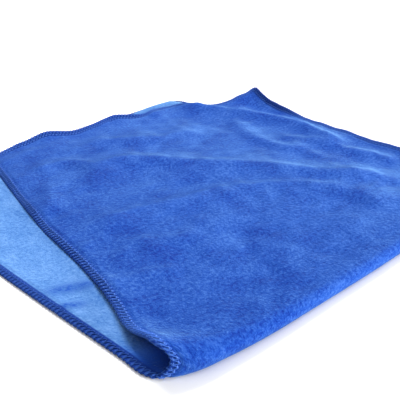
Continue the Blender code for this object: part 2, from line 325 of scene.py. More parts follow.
# %% The table of swells
Swell = namedtuple("Swell", "name x y reach_x reach_y lift")
SWELLS = (
    Swell("far_hem_left", 80, 314, 16, 28, 4.0),
    Swell("far_hem_middle", 150, 322, 26, 28, 2.5),
    Swell("far_hem_right", 215, 322, 34, 22, 3.0),
    Swell("far_hem_bump", 192, 317, 13, 22, 3.2),
    Swell("far_hem_end", 236, 317, 14, 22, 2.4),
    Swell("left_corner", 22, 304, 24, 24, -0.8),
    Swell("right_hem_up", 312, 165, 14, 40, 1.2),
    Swell("front_right", 220, 40, 45, 30, 2.0),
    Swell("right_hem", 313, 85, 14, 35, 4.5),
    Swell("right_hem_fold", 312, 236, 12, 14, 1.3),
    Swell("corner_hollow", 293, 264, 10, 18, -2.5),
    Swell("turned_up_corner", 315, 296, 36, 25, 12.0),
)
LAYER_REST = 5.0


def swell_height(x, y, swell):
    """Lift times e^-(distance / reach)^2."""
    east, north = (x - swell.x) / swell.reach_x, (y - swell.y) / swell.reach_y
    return swell.lift * np.exp(-(east**2) - north**2)


def upper_rest(x, y):
    """Height of the upper layer's middle away from the fold: its rest, ridges and swells."""
    z = np.full(x.shape, LAYER_REST)
    for crest in BROAD_RIDGES:
        z += crest_height(x, y, crest)
    for swell in SWELLS:
        z += swell_height(x, y, swell)
    return z


corner = upper_rest(*np.array([UPPER_FAR[-1]], float).T)
print("the turned-up corner lies", corner.round(1), "mm up before its hem curls")

# %% [markdown]
# ### Hems that curl and droop
#
# Overlocking stretches the edge a little, so a hem likes to curl. The far hem of the upper
# layer stands up along its left part, the right hem does by the turned-up corner and less
# along the rest, and the left hem droops onto the lower layer. A curl lifts the last
# centimetre of the cloth. It also draws it in on plan, as the cloth keeps its width.

# %% Curls of the hems
FAR_CURL, FAR_CURL_WIDE, FAR_CURL_DRAW = 4.5, 10.0, 0.85
FAR_CURL_GROWS, FAR_CURL_FADES = (-8.0, 42.0), (150.0, 175.0)
RIGHT_CURL, RIGHT_CURL_WIDE, RIGHT_CURL_DRAW = 8.0, 12.0, 1.4
RIGHT_CURL_FADES, RIGHT_CURL_REST = (35.0, 105.0), 0.3
CURL_DRAW_REACH = 6.0
LEFT_DROOP, LEFT_DROOP_WIDE = 1.8, 12.0
LEFT_DROOP_GROWS, LEFT_DROOP_FADES = (5.0, 40.0), (205.0, 250.0)


def ease(x, start, stop):
    """Smooth step from 0 to 1 on the way from start to stop."""
    return smoothstep((x - start) / (stop - start))


def curl_shares(across, from_far):
    """How much of their full curl the far hem and the right hem have at a place."""
    far = ease(across, *FAR_CURL_GROWS) * (1.0 - ease(across, *FAR_CURL_FADES))
    right = 1.0 - ease(from_far, *RIGHT_CURL_FADES)
    return far, RIGHT_CURL_REST + (1.0 - RIGHT_CURL_REST) * right


def droop_share(from_far):
    """How much of its full droop the left hem has, between the far corner and the roll."""
    return ease(from_far, *LEFT_DROOP_GROWS) * (1.0 - ease(from_far, *LEFT_DROOP_FADES))


def curl_rise(from_hem, width):
    """(1 - distance / width)^2 within the curl's width of the hem, and 0 past it."""
    return np.clip(1.0 - from_hem / width, 0.0, 1.0) ** 2


def curl_draw(from_hem, draw):
    """Distance from the hem in plan, shortened near it by draw times e^-(distance / reach)."""
    return from_hem * (1.0 - draw * np.exp(-from_hem / CURL_DRAW_REACH))


print("right hem's curl:", curl_shares(CLOTH_WIDE, np.array([0.0, 70.0, 140.0]))[1].round(2))

# %% [markdown]
# ### Fine waves
#
# No part of a used cloth is quite smooth. A displacement texture could do it, but then the
# stitches wouldn't follow. So two sums of plane waves in random directions go into the same
# height, one set about 46 mm long and one about 17 mm.

# %% Fine waves
Waves = namedtuple("Waves", "height length seed")
FINE_WAVES = (Waves(0.35, 46.0, 3), Waves(0.16, 17.0, 5))
WAVE_COUNT = 48
WAVE_NUMBERS = (0.7, 1.4)


def wave_height(x, y, waves):
    """Plane waves of about one length, in random directions, added up.

    Each is cos of (place along its direction times 2 pi / length, plus a phase). The sum is
    scaled so that its usual size is height.
    """
    rng = np.random.default_rng(waves.seed)
    turn, phase = rng.uniform(0.0, 2.0 * np.pi, (2, WAVE_COUNT))
    number = 2.0 * np.pi / (waves.length * rng.uniform(*WAVE_NUMBERS, WAVE_COUNT))
    total = np.zeros(np.shape(x))
    for t, p, k in zip(turn, phase, number):
        total += np.cos(k * (x * np.cos(t) + y * np.sin(t)) + p)
    return waves.height * (total * np.sqrt(2.0 / WAVE_COUNT))


print("waves", [waves.length for waves in FINE_WAVES], "mm long")

# %% [markdown]
# ## Thickness
#
# With its pile, the cloth reaches about a millimetre out from its middle on each face. The
# overlock squeezes it flat along the hems, and beside the stitches it swells back up in a soft
# shoulder. The very edge is rounded, where the machine's knife trimmed it. A Solidify modifier
# would need painted weights for that. A function of the distance from the hem doesn't.

# %% Half the cloth's thickness, from the hem inwards
PILE_HALF = 0.98
BAND_HALF = 0.62
BAND_WIDE = 5.3
SHOULDER_WIDE = 2.2
PUFF = 0.14
RIM_HALF = 0.22
RIM_ROUND = 0.9


def past_band(from_hem):
    """0 on the squeezed band, 1 where the pile is full, a smooth step over the shoulder."""
    return smoothstep((from_hem - BAND_WIDE) / SHOULDER_WIDE)


def half_thickness(from_hem):
    """A quarter circle up to the squeezed band, then a smooth step to the full pile, with a
    puff of e^-(distance / shoulder)^2 where the shoulder ends."""
    rim = RIM_HALF + (BAND_HALF - RIM_HALF) * np.sqrt(
        1.0 - (1.0 - np.clip(from_hem / RIM_ROUND, 0.0, 1.0)) ** 2
    )
    puff = PUFF * np.exp(-(((from_hem - BAND_WIDE - SHOULDER_WIDE) / SHOULDER_WIDE) ** 2))
    return rim + (PILE_HALF - BAND_HALF) * past_band(from_hem) + puff


print("half thickness 0, 3 and 20 mm in:", half_thickness(np.array([0.0, 3.0, 20.0])).round(2))

# %% [markdown]
# ### How high the middle stands
#
# Where the cloth rests on the table, its middle is half a thickness up. Along the hems it
# rests on its own stitches instead. They cross each other, so they stand up to 2.7 times a
# thread's radius off the squeezed cloth.

# %% Height of the middle over what it rests on
THREAD_RADIUS = 0.28
STITCHES_TALL = 2.7
HEM_STANDS = BAND_HALF + STITCHES_TALL * THREAD_RADIUS


def standing(from_hem):
    """A smooth step from the stitched hem's height to the full pile's, but never lower than
    half the thickness."""
    over_table = HEM_STANDS + (PILE_HALF - HEM_STANDS) * past_band(from_hem)
    return np.maximum(over_table, half_thickness(from_hem))


print("the middle stands", round(HEM_STANDS, 3), "mm up at the hem,", PILE_HALF, "inside")

# %% [markdown]
# ## The roll of the fold
#
# A thick cloth folded once by hand doesn't crease: it turns over in a soft roll. This one is
# 19 mm tall where it is open, at its left end, and settles to 8.6 mm along the rest. A half
# circle whose radius shrinks along the fold is the simplest shape that does it. Its lower half
# turns in sharply, pressed on the table, and its open mouth is drawn in at the front.

# %% The roll
ROLL_TALL_LEFT, ROLL_TALL = 19.0, 8.6
ROLL_SETTLE = 30.0
ROLL_THICK = 1.6
ROLL_FOOT = 0.55
MOUTH_DRAW, MOUTH_REACH = 5.0, 22.0


def from_sides(across):
    """Distance from the nearer of the left and right hems."""
    return np.minimum(across, CLOTH_WIDE - across)


def roll_radius(across):
    """Half of (height less thickness), where the height falls from the left end's to the
    rest's as e^-(distance / settle)."""
    tall = ROLL_TALL + (ROLL_TALL_LEFT - ROLL_TALL) * np.exp(-across / ROLL_SETTLE)
    return 0.5 * (tall - ROLL_THICK)


def roll(across, turn):
    """Middle of the roll, with turn from 90 degrees at its top to -90 under it.

    Its height is radius (1 + sin turn), and it reaches back radius (1 - cos turn), or less
    than that by the foot's share under it.
    """
    radius = roll_radius(across)
    foot = np.where(turn < 0, ROLL_FOOT, 1.0)
    back = foot * radius * (1.0 - np.cos(turn))
    upward = (turn > 0)[..., None]
    place = np.where(upward, plan(UPPER, across, back), plan(LOWER, across, back))
    x, y = np.moveaxis(place, -1, 0)
    x = x + MOUTH_DRAW * np.cos(turn) ** 2 * np.exp(-across / MOUTH_REACH)
    z = standing(from_sides(across)) + radius * (1.0 + np.sin(turn))
    return np.stack([x, y, z], -1)


print("roll radius 0, 30 and 150 mm along:", roll_radius(np.array([0.0, 30.0, 150.0])).round(2))

# %% [markdown]
# ## The two layers
#
# The upper layer leaves the top of the roll level, leans down behind it, and then follows its
# own ridges, swells, curls and waves. The lower layer lies on the table from under the roll to
# its far hem, with only its one ridge and its partings.

# %% The upper layer
ROLL_LEAN = 11.0
FINE_GROWS = 8.0


def upper_layer(across, from_far):
    """Middle of the upper layer, from its far hem to the top of the roll.

    Its height blends from the roll's top to its own, as (1 + p) e^-p, where p is the way past
    the roll's top over the lean. The fine creases and waves grow in over FINE_GROWS.
    """
    radius = roll_radius(across)
    far_share, right_share = curl_shares(across, from_far)
    from_right = CLOTH_WIDE - across
    back = back_from_fold(UPPER, across, curl_draw(from_far, FAR_CURL_DRAW * far_share), radius)
    plan_across = CLOTH_WIDE - curl_draw(from_right, RIGHT_CURL_DRAW * right_share)
    x, y = np.moveaxis(plan(UPPER, plan_across, back), -1, 0)
    rest = upper_rest(x, y)
    rest += FAR_CURL * far_share * curl_rise(from_far, FAR_CURL_WIDE)
    rest += RIGHT_CURL * right_share * curl_rise(from_right, RIGHT_CURL_WIDE)
    rest -= LEFT_DROOP * droop_share(from_far) * curl_rise(across, LEFT_DROOP_WIDE)
    past = np.maximum(back - radius, 0.0) / ROLL_LEAN
    settle = (1.0 + past) * np.exp(-past)
    top = standing(from_sides(across)) + 2.0 * radius
    z = rest + (top - rest) * settle
    fine = sum(wave_height(x, y, waves) for waves in FINE_WAVES)
    for crest in FINE_CREASES:
        fine += crest_height(x, y, crest)
    return np.stack([x, y, z + fine * smoothstep((back - radius) / FINE_GROWS)], -1)


mid_layer = np.array([150.0])
print("upper layer's middle:", upper_layer(mid_layer, mid_layer).round(1))

# %% The lower layer


def lower_layer(across, from_far):
    """Middle of the lower layer: its height over the table, plus that of each crest."""
    back = back_from_fold(LOWER, across, from_far, ROLL_FOOT * roll_radius(across))
    x, y = np.moveaxis(plan(LOWER, across, back), -1, 0)
    z = standing(np.minimum(from_far, from_sides(across)))
    for crest in LOWER_CREASES + PARTINGS:
        z = z + crest_height(x, y, crest)
    return np.stack([x, y, z], -1)


print("lower layer's middle:", lower_layer(mid_layer, mid_layer).round(1))

# %% [markdown]
# ### One function for the whole cloth
#
# The three stretches meet at the top of the roll and under it. The four corners are rounded
# before the layers see them: near a corner both distances grow, so that the square corner of
# the flat cloth lands on a quarter circle.

# %% The whole cloth, and which way it faces
CORNER_ROUND = 10.0
SLOPE_STEP = 0.7


def round_corner(a, b):
    """Distances from two hems, with the corner between them moved onto a quarter circle.

    p and q are the shares of the way from the circle's ends to the hems. Each distance grows
    by round p (1 - root of (1 - q^2 / 2)), or the same with p and q changed round.
    """
    p = np.clip(1.0 - a / CORNER_ROUND, 0.0, 1.0)
    q = np.clip(1.0 - b / CORNER_ROUND, 0.0, 1.0)
    return (
        a + CORNER_ROUND * p * (1.0 - np.sqrt(1.0 - 0.5 * q * q)),
        b + CORNER_ROUND * q * (1.0 - np.sqrt(1.0 - 0.5 * p * p)),
    )


def surface(across, along):
    """Middle of the cloth at a flat place: the upper layer up to the roll, then the roll,
    turning 180 degrees evenly over the cloth it takes up, then the lower layer."""
    across, along = np.broadcast_arrays(across, along)
    from_far = np.minimum(along, CLOTH_LONG - along)
    left, from_far_left = round_corner(across, from_far)
    right, from_far_right = round_corner(CLOTH_WIDE - across, from_far)
    on_left = across < 0.5 * CLOTH_WIDE
    a = np.where(on_left, left, CLOTH_WIDE - right)
    b = np.where(on_left, from_far_left, from_far_right)
    turn = np.pi * (0.5 - (along - LAYER_LONG) / ROLL_TAKES)
    stretches = (
        (along <= LAYER_LONG, upper_layer, b),
        ((along > LAYER_LONG) & (along < CLOTH_LONG - LAYER_LONG), roll, turn),
        (along >= CLOTH_LONG - LAYER_LONG, lower_layer, b),
    )
    points = np.empty((*across.shape, 3))
    for here, stretch, second in stretches:
        points[here] = stretch(a[here], second[here])
    return points


def outward(across, along):
    """Unit normals of the cloth, on the royal blue side: the cross product of the slopes
    across and along, each taken between two places a step either side."""
    slope_a = surface(np.minimum(across + SLOPE_STEP, CLOTH_WIDE), along) - surface(
        np.maximum(across - SLOPE_STEP, 0.0), along
    )
    slope_b = surface(across, np.minimum(along + SLOPE_STEP, CLOTH_LONG)) - surface(
        across, np.maximum(along - SLOPE_STEP, 0.0)
    )
    normal = np.cross(slope_b, slope_a)
    return normal / np.linalg.norm(normal, axis=-1, keepdims=True)


print("outward, mid upper and lower layer:", outward(150.0, np.array([150.0, 450.0])).round(2))

# %% [markdown]
# ## The cloth's mesh
#
# The sheet is a grid over the flat cloth. A subdivided grid would spend its faces evenly. Here
# the lines are close along the hems, where the thickness changes, and over the roll.

# %% Grid lines
HEM_LINES = (0.0, 0.25, 0.7, 1.4, 2.4, 3.4, 4.4, 5.1, 5.6, 6.1, 6.7, 7.4, 8.4, 9.6, 11.4)
CELL = 2.05
LOWER_CELL = 2.6
ROLL_ROWS = 14


def even(start, stop, cell):
    """Even lines from start up to, and not including, stop."""
    return np.linspace(start, stop, int(np.ceil((stop - start) / cell)), endpoint=False)


def hem_then_even(stop, cell):
    """The close lines along a hem, then even ones up to, and not including, stop."""
    return np.concatenate([HEM_LINES[:-1], even(HEM_LINES[-1], stop, cell)])


half_across = hem_then_even(0.5 * CLOTH_WIDE, CELL)
across_lines = np.concatenate([
    half_across, [0.5 * CLOTH_WIDE], CLOTH_WIDE - half_across[::-1],
])
along_lines = np.concatenate([
    hem_then_even(LAYER_LONG, CELL),
    even(LAYER_LONG, CLOTH_LONG - LAYER_LONG, ROLL_TAKES / ROLL_ROWS),
    [CLOTH_LONG - LAYER_LONG],
    CLOTH_LONG - hem_then_even(LAYER_LONG, LOWER_CELL)[::-1],
])
flat_a, flat_b = np.meshgrid(across_lines, along_lines, indexing="ij")
print("grid:", flat_a.shape, "triangles:", 4 * flat_a.size)

# %% [markdown]
# ### The two faces and the wall between them
#
# Each face is the middle moved out along its normal by half the thickness. A strip of faces
# round the rim joins the two, so the cloth is one closed skin.

# %% The two faces and the wall between them


def quads(numbers):
    """Four-cornered faces of a grid of vertex numbers: each number with its neighbours."""
    corners = (numbers[:-1, :-1], numbers[1:, :-1], numbers[1:, 1:], numbers[:-1, 1:])
    return np.stack(corners, -1).reshape(-1, 4)


def mesh_from(name, points, faces):
    """A smooth-shaded mesh from an array of points, in mm, and one of four-cornered faces."""
    mesh = bpy.data.meshes.new(name)
    mesh.from_pydata(in_metres(points.reshape(-1, 3)).tolist(), [], faces.tolist())
    mesh.shade_smooth()
    return mesh


middle = surface(flat_a, flat_b)
normal = outward(flat_a, flat_b)
hem_distance = np.minimum(from_sides(flat_a), np.minimum(flat_b, CLOTH_LONG - flat_b))
half = half_thickness(hem_distance)[..., None]
skin = np.stack([middle + half * normal, middle - half * normal])

numbers = np.arange(skin[..., 0].size).reshape(skin.shape[:3])
rim = np.concatenate([
    numbers[:, :, 0].T, numbers[:, -1, 1:].T, numbers[:, -2::-1, -1].T, numbers[:, 0, -2:0:-1].T,
])
next_rim = np.roll(rim, -1, axis=0)
wall = np.stack([rim[:, 0], next_rim[:, 0], next_rim[:, 1], rim[:, 1]], -1)
outer_faces, inner_faces = quads(numbers[0])[:, ::-1], quads(numbers[1])
cloth_mesh = mesh_from("cloth_two_faced", skin, np.concatenate([outer_faces, inner_faces, wall]))
cloth = add_object("cloth_two_faced", cloth_mesh)
print(len(cloth_mesh.polygons), "faces, lowest point", round(float(skin[..., 2].min()), 3), "mm")

# %% [markdown]
# ### What each vertex remembers
#
# The finishes have to follow the cloth and not the room. So every vertex keeps its flat place,
# in metres, as a UV map, and three numbers of its own: how far it is from the hem and from the
# middle of the roll, and how much of a parting it lies on, which sets its painted shade. The
# upper layer has no partings.

# %% The cloth's UV map and attributes


def put_uv(mesh, name, per_vertex):
    """Stores a pair of numbers per vertex as a UV map."""
    corner_vertex = np.empty(len(mesh.loops), np.int32)
    mesh.loops.foreach_get("vertex_index", corner_vertex)
    layer = mesh.uv_layers.new(name=name)
    layer.data.foreach_set("uv", per_vertex[corner_vertex].astype(np.float32).ravel())


def put_number(mesh, name, per_place):
    """Stores one number per flat place, on both faces, as a named attribute."""
    attribute = mesh.attributes.new(name, "FLOAT", "POINT")
    attribute.data.foreach_set("value", np.tile(per_place.ravel(), 2).astype(np.float32))


flat_place = np.stack([flat_a, flat_b], -1).reshape(-1, 2) * MM
# how much of a parting each place lies on: the mask for the parting's painted shade
parted = sum(crest_height(middle[..., 0], middle[..., 1], c) / c.height for c in PARTINGS)
parted[flat_b < 0.5 * CLOTH_LONG] = 0.0
put_uv(cloth_mesh, "flat_place", np.concatenate([flat_place, flat_place]))
put_number(cloth_mesh, "from_hem", hem_distance * MM)
put_number(cloth_mesh, "from_roll", np.abs(flat_b - 0.5 * CLOTH_LONG) * MM)
put_number(cloth_mesh, "parted", parted)
print("places on a parting:", int((parted > 0.5).sum()))

# %% [markdown]
# ## The overlock stitches
#
# A four-thread overlock has two needle threads, which run in straight rows of stitches a few
# millimetres in from the edge, and two looper threads. One looper zigzags over the royal face,
# the other over the azure face, and they lock together round the rim. Stitches could be a bump
# on the hem, but here they are real tubes, because the outline of the hem is made of them.
#
# First comes the way round the cloth, with a whole number of stitches. It is measured on the
# folded cloth, so that the stitches stay even where a hem curls.

# %% The way round the edge
STITCH = 3.1
EDGE_STEPS = 3600


def edge_place(s):
    """Flat place of a point that has walked s mm round the cloth's edge."""
    turns = np.cumsum([0.0, CLOTH_LONG, CLOTH_WIDE, CLOTH_LONG, CLOTH_WIDE])
    across = np.interp(s, turns, [0.0, 0.0, CLOTH_WIDE, CLOTH_WIDE, 0.0])
    along = np.interp(s, turns, [0.0, CLOTH_LONG, CLOTH_LONG, 0.0, 0.0])
    return across, along


walk = np.linspace(0.0, 2.0 * (CLOTH_LONG + CLOTH_WIDE), EDGE_STEPS + 1)
edge_steps = np.linalg.norm(np.diff(surface(*edge_place(walk)), axis=0), axis=1)
walked = np.concatenate([[0.0], np.cumsum(edge_steps)])
stitch_count = int(round(walked[-1] / STITCH))


def stitch_place(k):
    """How far round the edge stitch number k is: k equal shares of the folded length."""
    return np.interp(np.mod(k, stitch_count) * walked[-1] / stitch_count, walked, walk)


print("round the edge:", round(float(walked[-1])), "mm,", stitch_count, "stitches")

# %% [markdown]
# ### Places on the skin of the hem
#
# A thread lies on the squeezed cloth and goes round its rim. So its path is drawn on a skin:
# flat over each face, and half a circle round the very edge. At a corner, threads that are
# simply cut short would pile up in one point, so they are moved in a little at a time.

# %% The skin of the hem
CORNER_SPREAD = 12.0
RIM_WRAP = 1.3
RIM_CENTRE = 0.45
EDGE_WAY_STEP = 1.6


def pull_in(distance, length, depth):
    """Moves a distance along a side by depth at its two ends, and by less and less up to
    CORNER_SPREAD from them, so that the stitches spread evenly round a corner."""
    near = np.clip(1.0 - distance / CORNER_SPREAD, 0.0, 1.0)
    far = np.clip(1.0 - (length - distance) / CORNER_SPREAD, 0.0, 1.0)
    return distance + depth * (near - far)


def inside(s, depth):
    """Flat place of edge_place(s), moved depth mm in from its hem."""
    across, along = edge_place(s)
    return pull_in(across, CLOTH_WIDE, depth), pull_in(along, CLOTH_LONG, depth)


def hem_skin(s, wrap, lift):
    """Points on the skin of the hem, and the way out of it.

    wrap is the distance round the rim: 0 at the very edge, positive over the royal blue face
    and negative over the azure one. lift is the distance off the squeezed cloth. Within
    RIM_WRAP of the edge the skin is a circle, whose angle goes with wrap. Beyond, it is flat.
    """
    angle = 0.5 * np.pi * np.clip(wrap / RIM_WRAP, -1.0, 1.0)
    beyond = np.maximum(np.abs(wrap) - RIM_WRAP, 0.0)
    radius = BAND_HALF + lift
    depth = RIM_CENTRE + beyond - radius * np.cos(angle)
    across, along = inside(s, np.maximum(depth, 0.0))
    place, up = surface(across, along), outward(across, along)
    edge_way = surface(*inside(s, 0.0)) - surface(*inside(s, EDGE_WAY_STEP))
    edge_way /= np.linalg.norm(edge_way, axis=-1, keepdims=True)
    out = np.cos(angle)[..., None] * edge_way + np.sin(angle)[..., None] * up
    past_edge = np.maximum(-depth, 0.0)[..., None] * edge_way
    return place + past_edge + (radius * np.sin(angle))[..., None] * up, out


# %% [markdown]
# ### Threads as closed tubes
#
# A curve object with a bevel would make a tube too, but it twists at tight turns. Here each
# ring is set square to its path and to the skin, and the last ring joins the first, so a
# thread goes once round the cloth with no end.

# %% Closed tubes
THREAD_SIDES = 5


def closed_tube(centre, side_way, radius):
    """Rings of points round a closed path.

    Each ring is centre + radius (cos v * across + sin v * out), where out is side_way made
    square to the path, and across is square to both.
    """
    path_way = np.roll(centre, -1, 0) - np.roll(centre, 1, 0)
    path_way /= np.linalg.norm(path_way, axis=-1, keepdims=True)
    across = np.cross(path_way, side_way)
    across /= np.linalg.norm(across, axis=-1, keepdims=True)
    out = np.cross(across, path_way)
    v = np.linspace(0.0, 2.0 * np.pi, THREAD_SIDES, endpoint=False)[:, None]
    ring = np.cos(v)[None] * across[:, None] + np.sin(v)[None] * out[:, None]
    return centre[:, None] + radius * ring


def tube_faces(rings, first):
    """Faces of a closed tube, which joins its last ring to its first."""
    numbers = first + np.arange(rings * THREAD_SIDES).reshape(rings, THREAD_SIDES)
    numbers = np.concatenate([numbers, numbers[:1]])
    numbers = np.concatenate([numbers, numbers[:, :1]], 1)
    return quads(numbers)[:, ::-1]


def tube_piece(name, radius, *paths):
    """One object from closed tubes. Its UV map has the turn round the thread, from 0 to 1, and
    the length along it in metres."""
    points, faces, uv, first = [], [], [], 0
    for centre, side_way in paths:
        step = np.linalg.norm(np.diff(centre, axis=0), axis=1)
        length = np.concatenate([[0.0], np.cumsum(step)]) * MM
        turn = np.tile(np.arange(THREAD_SIDES) / THREAD_SIDES, len(centre))
        points.append(closed_tube(centre, side_way, radius).reshape(-1, 3))
        faces.append(tube_faces(len(centre), first))
        uv.append(np.stack([turn, np.repeat(length, THREAD_SIDES)], -1))
        first += len(points[-1])
    mesh = mesh_from(name, np.concatenate(points), np.concatenate(faces))
    put_uv(mesh, "along_thread", np.concatenate(uv))
    print(name, len(mesh.polygons), "faces")
    return add_object(name, mesh)


# %% [markdown]
# ### The two loopers
#
# A looper's zigzag is a cosine across the hem. A sine along the hem makes its turns round, and
# a lean slants one leg of each stitch more than the other, as a machine does. The outer looper
# reaches from beyond the needle rows, over the royal face and round the rim. The inner one
# does the same on the azure face, half a stitch later, so that the two lock.

# %% The two loopers
LOOPER_STEPS = 12
LOOPER_LIFT = 0.75
ROUND_TURN = 0.17
LOOPER_LEAN = 0.38
OUTER_ENDS, OUTER_START = (5.9, -2.0), 0.0
INNER_ENDS, INNER_START = (-4.9, 1.4), 0.5


def looper(ends, start):
    """Path of a looper: wrap swings between its two ends once a stitch, as a cosine, and lift
    is 0.75 of the radius at both ends and twice that halfway."""
    k = np.arange(stitch_count * LOOPER_STEPS) / LOOPER_STEPS + start
    swing = 0.5 + 0.5 * np.cos(2.0 * np.pi * k)
    wrap = ends[1] + (ends[0] - ends[1]) * swing
    place = stitch_place(k + ROUND_TURN * np.sin(2.0 * np.pi * k) + LOOPER_LEAN * (swing - 0.5))
    lift = THREAD_RADIUS * (LOOPER_LIFT + LOOPER_LIFT * np.sin(np.pi * swing) ** 2)
    return hem_skin(place, wrap, lift)


outer_path, inner_path = looper(OUTER_ENDS, OUTER_START), looper(INNER_ENDS, INNER_START)
looper_outer = tube_piece("overlock_looper_outer", THREAD_RADIUS, outer_path)
looper_inner = tube_piece("overlock_looper_inner", THREAD_RADIUS, inner_path)

# %% [markdown]
# ### The two needle rows
#
# On the royal face each needle stitch shows as a short fat bead, which dives into the cloth
# where the needle went through. The two rows are half a stitch apart.

# %% The two needle rows
NEEDLE_RADIUS = 0.34
NEEDLE_STEPS = 8
NEEDLE_DIVE = 0.55
INNER_ROW, OUTER_ROW = (5.0, 0.5), (2.4, 0.0)


def needle_row(wrap, start):
    """Path of a needle thread: lift is sin^4 of half a turn per stitch, less the dive, so it
    humps between two holes and lies under the surface at each."""
    k = np.arange(stitch_count * NEEDLE_STEPS) / NEEDLE_STEPS
    hump = np.sin(np.pi * k) ** 2
    return hem_skin(stitch_place(k + start), np.full(k.shape, wrap), hump**2 - NEEDLE_DIVE)


needle_rows = tube_piece(
    "overlock_needle_rows", NEEDLE_RADIUS, needle_row(*INNER_ROW), needle_row(*OUTER_ROW)
)

# %% [markdown]
# ## Finishes
#
# Every finish is made of nodes, so that it stays sharp at any distance. A few helpers keep the
# recipes short.

# %% Node helpers


def new_material(name):
    """A material with its node tree and its Principled shader."""
    material = bpy.data.materials.new(name)
    material.use_nodes = True
    return material, material.node_tree, material.node_tree.nodes["Principled BSDF"]


def add_node(tree, kind, **settings):
    """Adds a node. A setting named like a socket sets that socket, else the node itself."""
    node = tree.nodes.new("ShaderNode" + kind)
    for name, value in settings.items():
        socket = name.replace("_", " ").title()
        if socket in node.inputs:
            node.inputs[socket].default_value = value
        else:
            setattr(node, name, value)
    return node


def feed(tree, socket, value):
    """Links a socket to another one, or sets it to a plain number or colour."""
    if isinstance(value, bpy.types.NodeSocket):
        tree.links.new(value, socket)
    elif isinstance(value, tuple):
        socket.default_value = (*value, 1.0)
    else:
        socket.default_value = value


def mix(tree, share, a, b):
    """Colour b over colour a, by a share from 0 to 1."""
    node = add_node(tree, "Mix", data_type="RGBA")
    for index, value in ((0, share), (6, a), (7, b)):
        feed(tree, node.inputs[index], value)
    return node.outputs[2]


def maths(tree, operation, *values):
    """A Math node on sockets or plain numbers."""
    node = add_node(tree, "Math", operation=operation)
    for socket, value in zip(node.inputs, values):
        feed(tree, socket, value)
    return node.outputs[0]


def add_bump(tree, shader, height, strength, distance):
    """Tilts the shader's normal as if the surface were height times distance high."""
    node = add_node(tree, "Bump", strength=strength, distance=distance)
    feed(tree, node.inputs["Height"], height)
    feed(tree, shader.inputs["Normal"], node.outputs["Normal"])


def set_cloth_shine(shader, roughness, specular, sheen, sheen_roughness, sheen_tint):
    """Sets how matt a fibre is, and the sheen of its ends, on the shader's own sockets."""
    shader.inputs["Roughness"].default_value = roughness
    shader.inputs["Specular IOR Level"].default_value = specular
    shader.inputs["Sheen Weight"].default_value = sheen
    shader.inputs["Sheen Roughness"].default_value = sheen_roughness
    shader.inputs["Sheen Tint"].default_value = (*sheen_tint, 1.0)


# %% [markdown]
# ### The pile
#
# Microfibre pile is matt, but its countless fine ends catch light at a grazing angle, so it
# has a strong sheen. Close up it is clumped, and stroked places look lighter or darker where
# the fibres lean. Hair could make it, but for pile this short three noises do: fibres, clumps
# of them and broad strokes, added up and turned into three tones, with the two fine ones as
# bump too. They are read on the flat cloth's own UV map, in cells per metre, so that they run
# over the folds without stretching.
#
# The azure face turns into the roll, where light bounces between blue piles before it gets
# out, and a render leaves it too pale. So painted shade deepens its tone towards the roll, and
# more so in the innermost part. The partings get a streaky painted shade too, as the shade down
# in a crease.
# Both faces are darker on the stitched band: partly the pile squeezed flat, and partly painted
# shade between the threads.

# %% The pile of the two faces
Noise = namedtuple("Noise", "cells detail roughness distortion weight")
CLUMPS = Noise(430.0, 3.0, 0.7, 0.0, 0.48)
FIBRES = Noise(1100.0, 2.0, 0.6, 0.0, 0.22)
STROKES = Noise(36.0, 4.0, 0.6, 0.5, 0.30)
TONE_STOPS = (0.38, 0.50, 0.62)
FIBRE_BUMP, PILE_BUMP = 0.4, 0.0006
STREAK_GAIN, STREAK_LEVEL = 4.0, -1.15

Pile = namedtuple("Pile", "name shift tones sheen_tint depths")
# painted shades of the azure face: in the partings, towards the roll, and deepest in its innermost
# part
Depths = namedtuple("Depths", "parted rolled innermost")
ROYAL = Pile(
    "royal_blue_pile", (0.0, 0.0, 0.0),
    ((0.001, 0.014, 0.185), (0.008, 0.050, 0.285), (0.036, 0.108, 0.395)),
    (0.30, 0.63, 1.0), None,
)
AZURE = Pile(
    "azure_pile", (2.3, 0.851, 0.0),
    ((0.030, 0.115, 0.37), (0.074, 0.192, 0.475), (0.130, 0.272, 0.58)),
    (0.40, 0.75, 1.0),
    Depths((0.014, 0.070, 0.350), (0.020, 0.115, 0.60), (0.008, 0.046, 0.30)),
)
# the band's tint is partly the squeezed pile and partly painted shade between the threads
BAND_TINT_AND_SHADE, BAND_FADES = (0.005, 0.030, 0.215), (4.8, 5.9)
ROLL_SHADE_FADES, INNERMOST_SHADE_FADES = (20.0, 44.0), (15.0, 32.0)


def noise(tree, place, kind):
    """Noise of one kind, read at a place in metres."""
    node = add_node(
        tree, "TexNoise", scale=kind.cells, detail=kind.detail, roughness=kind.roughness,
        distortion=kind.distortion,
    )
    feed(tree, node.inputs["Vector"], place)
    return node.outputs["Factor"] if "Factor" in node.outputs else node.outputs["Fac"]


def ramp(tree, value, stops, colours):
    """Colours at their stops, and even blends between them."""
    node = add_node(tree, "ValToRGB")
    elements = node.color_ramp.elements
    while len(elements) < len(stops):
        elements.new(0.5)
    for element, position, colour in zip(elements, stops, colours):
        element.position = position
        element.color = (*colour, 1.0)
    feed(tree, node.inputs["Fac"], value)
    return node.outputs["Color"]


def kept(tree, attribute):
    """A number that the mesh keeps at each vertex."""
    return add_node(tree, "Attribute", attribute_name=attribute).outputs["Fac"]


def within(tree, attribute, fades):
    """1 where a kept distance is under the first of two, in mm, and 0 past the second."""
    share = add_node(tree, "MapRange", interpolation_type="SMOOTHSTEP")
    share.inputs["From Min"].default_value = fades[1] * MM
    share.inputs["From Max"].default_value = fades[0] * MM
    feed(tree, share.inputs["Value"], kept(tree, attribute))
    return share.outputs["Result"]


